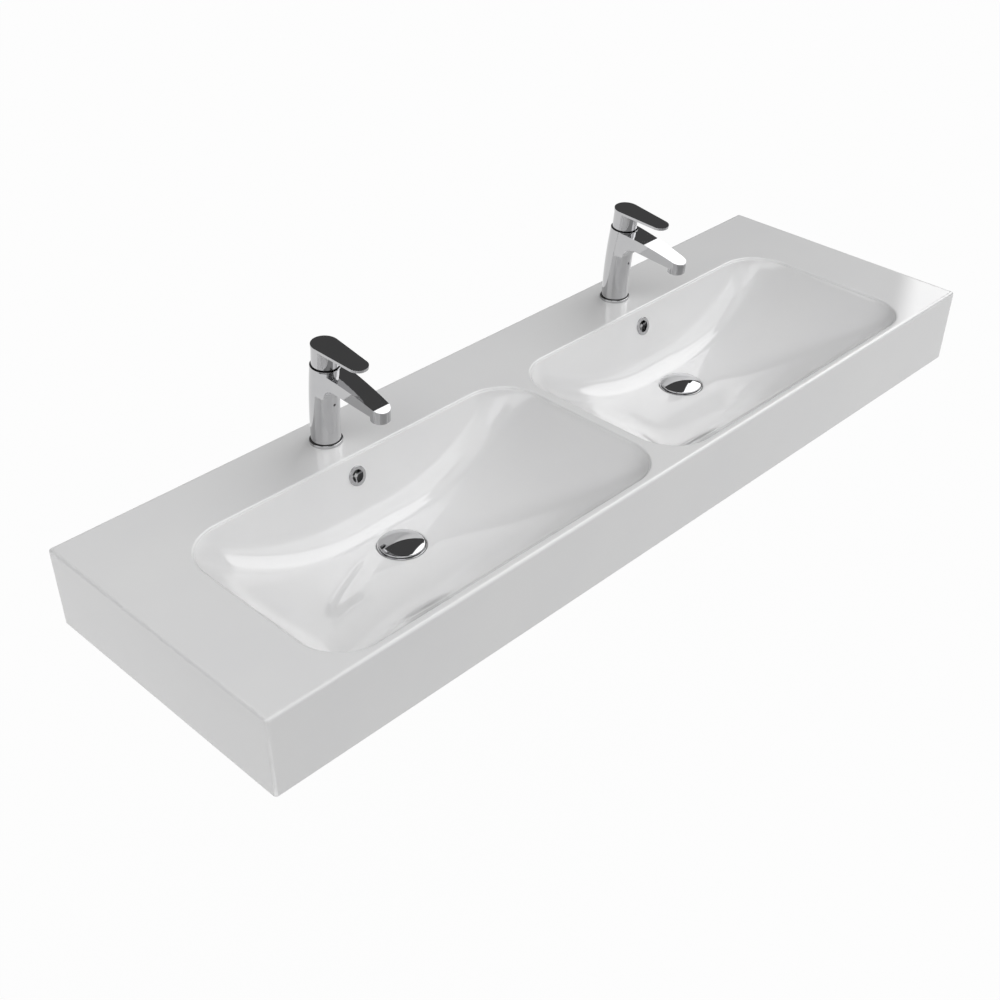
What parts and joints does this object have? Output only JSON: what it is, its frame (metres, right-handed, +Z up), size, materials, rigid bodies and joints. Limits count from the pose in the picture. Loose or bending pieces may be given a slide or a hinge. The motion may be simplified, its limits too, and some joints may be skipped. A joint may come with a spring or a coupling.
{
  "type": "double washbasin with mixer taps",
  "caption": "Long wall-hung white ceramic washbasin with two rounded bowls, each with a single-lever chrome mixer tap, an overflow and a push-to-open waste.",
  "frame": {"origin": "on the wall face, midway along the basin, level with the wall fixing holes, 75 mm above the lower edge of the apron", "axes": "+X along the wall to the right of a user facing the basin, +Y into the wall, +Z up; the deck is at Z = +0.050 and the front apron at Y = -0.460"},
  "size_m": [1.5, 0.46, 0.3402],
  "materials": {
    "white_glaze": "glossy white glaze",
    "chrome_polished": "polished chrome plate",
    "steel": "plain stainless steel",
    "brass": "turned brass",
    "black_rubber": "matt",
    "black_plastic": "matt",
    "dark_plastic": "satin",
    "grey_plastic": "satin",
    "white_plastic": "smooth",
    "technical_ceramic": "lapped ceramic"
  },
  "bodies": {
    "root": {"basin": "white_glaze", "left_tap_body": "chrome_polished", "left_base_ring": "chrome_polished", "left_base_seal": "black_rubber", "left_aerator": "chrome_polished", "left_aerator_screen": "grey_plastic", "left_index_dot": "dark_plastic", "left_cartridge_housing": "grey_plastic", "left_port_disc": "technical_ceramic", "left_cartridge_nut": "brass", "left_gap_ring": "black_plastic", "left_overflow_ring": "chrome_polished", "left_overflow_clip": "steel", "left_waste_body": "chrome_polished", "left_flange_seal": "black_rubber", "left_boss_seal": "black_rubber", "left_waste_nut": "white_plastic", "left_popup_housing": "white_plastic", "left_popup_spring": "steel", "right_tap_body": "chrome_polished", "right_base_ring": "chrome_polished", "right_base_seal": "black_rubber", "right_aerator": "chrome_polished", "right_aerator_screen": "grey_plastic", "right_index_dot": "dark_plastic", "right_cartridge_housing": "grey_plastic", "right_port_disc": "technical_ceramic", "right_cartridge_nut": "brass", "right_gap_ring": "black_plastic", "right_overflow_ring": "chrome_polished", "right_overflow_clip": "steel", "right_waste_body": "chrome_polished", "right_flange_seal": "black_rubber", "right_boss_seal": "black_rubber", "right_waste_nut": "white_plastic", "right_popup_housing": "white_plastic", "right_popup_spring": "steel", "tap_studs": "steel", "tap_gaskets": "black_rubber", "tap_washers": "steel", "tap_nuts": "brass"},
    "left_turret": {"left_cartridge_turret": "dark_plastic"},
    "left_lever": {"left_lever": "chrome_polished", "left_lever_screw": "steel", "left_lever_plug": "chrome_polished", "left_lever_stem": "steel"},
    "left_valve": {"left_control_disc": "technical_ceramic"},
    "left_cap": {"left_waste_cap": "chrome_polished", "left_cap_seal": "black_rubber", "left_popup_shaft": "steel"},
    "right_turret": {"right_cartridge_turret": "dark_plastic"},
    "right_lever": {"right_lever": "chrome_polished", "right_lever_screw": "steel", "right_lever_plug": "chrome_polished", "right_lever_stem": "steel"},
    "right_valve": {"right_control_disc": "technical_ceramic"},
    "right_cap": {"right_waste_cap": "chrome_polished", "right_cap_seal": "black_rubber", "right_popup_shaft": "steel"}
  },
  "joints": [
    {"name": "left_turn", "type": "hinge", "parent": "root", "child": "left_turret", "pos_m": [-0.32125, -0.0685, 0.18], "axis": [0, -0.0872, 0.9962], "range_deg": [-45, 45]},
    {"name": "left_lift", "type": "hinge", "parent": "left_turret", "child": "left_lever", "pos_m": [-0.32125, -0.06876, 0.18299], "axis": [-1, 0, 0], "range_deg": [0, 25]},
    {"name": "left_shift", "type": "slide", "parent": "left_turret", "child": "left_valve", "axis": [0, -0.9962, -0.0872], "range_m": [0, 0.0061]},
    {"name": "left_cap_rise", "type": "slide", "parent": "root", "child": "left_cap", "axis": [0, 0, 1], "range_m": [0, 0.008], "deforming": ["left_popup_spring"]},
    {"name": "right_turn", "type": "hinge", "parent": "root", "child": "right_turret", "pos_m": [0.32125, -0.0685, 0.18], "axis": [0, -0.0872, 0.9962], "range_deg": [-45, 45]},
    {"name": "right_lift", "type": "hinge", "parent": "right_turret", "child": "right_lever", "pos_m": [0.32125, -0.06876, 0.18299], "axis": [-1, 0, 0], "range_deg": [0, 25]},
    {"name": "right_shift", "type": "slide", "parent": "right_turret", "child": "right_valve", "axis": [0, -0.9962, -0.0872], "range_m": [0, 0.0061]},
    {"name": "right_cap_rise", "type": "slide", "parent": "root", "child": "right_cap", "axis": [0, 0, 1], "range_m": [0, 0.008], "deforming": ["right_popup_spring"]}
  ],
  "couplings": [
    {"joint": "left_shift", "follows": "left_lift", "m_per_rad": 0.01375},
    {"joint": "right_shift", "follows": "right_lift", "m_per_rad": 0.01375}
  ]
}
